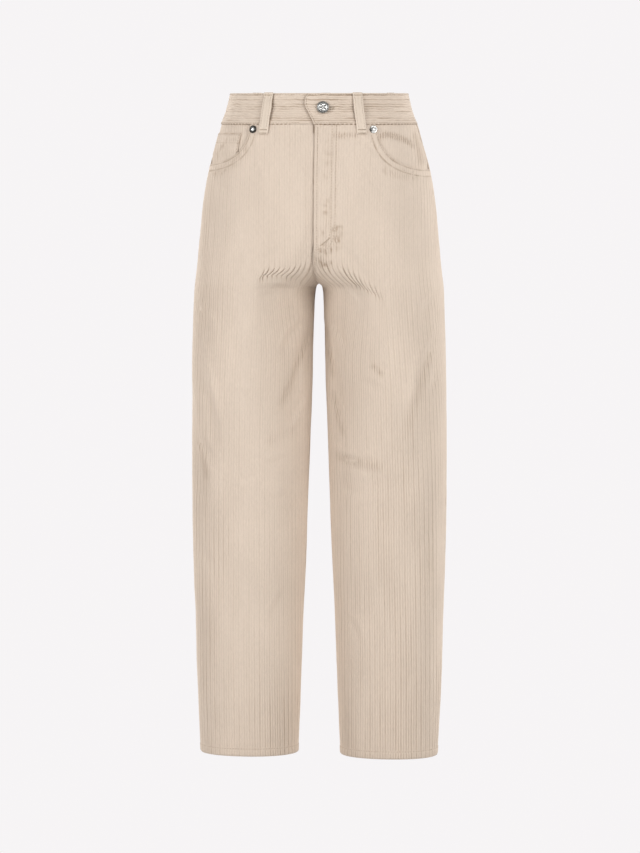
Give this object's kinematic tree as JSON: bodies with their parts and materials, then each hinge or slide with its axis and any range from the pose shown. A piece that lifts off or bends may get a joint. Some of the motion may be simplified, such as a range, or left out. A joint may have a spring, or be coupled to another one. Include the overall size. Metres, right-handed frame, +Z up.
{
  "type": "carrot fit jeans",
  "caption": "High-rise jeans in wide-wale corduroy with full rounded legs that narrow to the hem, hollow and filled out, with a lapped waistband, scooped front pockets and belt loops.",
  "frame": {"origin": "middle of the waist opening, halfway up the waistband, where the wearer holds the garment up", "axes": "+Z up along the body, +X to the wearer's left, front faces -Y"},
  "size_m": [0.3774, 0.2336, 0.9816],
  "materials": {
    "corduroy": "matt cotton corduroy in ecru with thick and thin wales",
    "trim_metal": "antique silver, polished on the raised parts and dark in the hollows"
  },
  "bodies": {
    "root": {"front_right": "corduroy", "back_right": "corduroy", "yoke_right": "corduroy", "pocket_facing_right": "corduroy", "back_pocket_right": "corduroy", "front_left": "corduroy", "back_left": "corduroy", "yoke_left": "corduroy", "pocket_facing_left": "corduroy", "back_pocket_left": "corduroy", "coin_pocket": "corduroy", "waistband": "corduroy", "belt_loop_front_right": "corduroy", "belt_loop_front_left": "corduroy", "belt_loop_back_right": "corduroy", "belt_loop_back_left": "corduroy", "belt_loop_centre_back": "corduroy", "button": "trim_metal", "rivet_right": "trim_metal", "rivet_left": "trim_metal"}
  },
  "joints": []
}
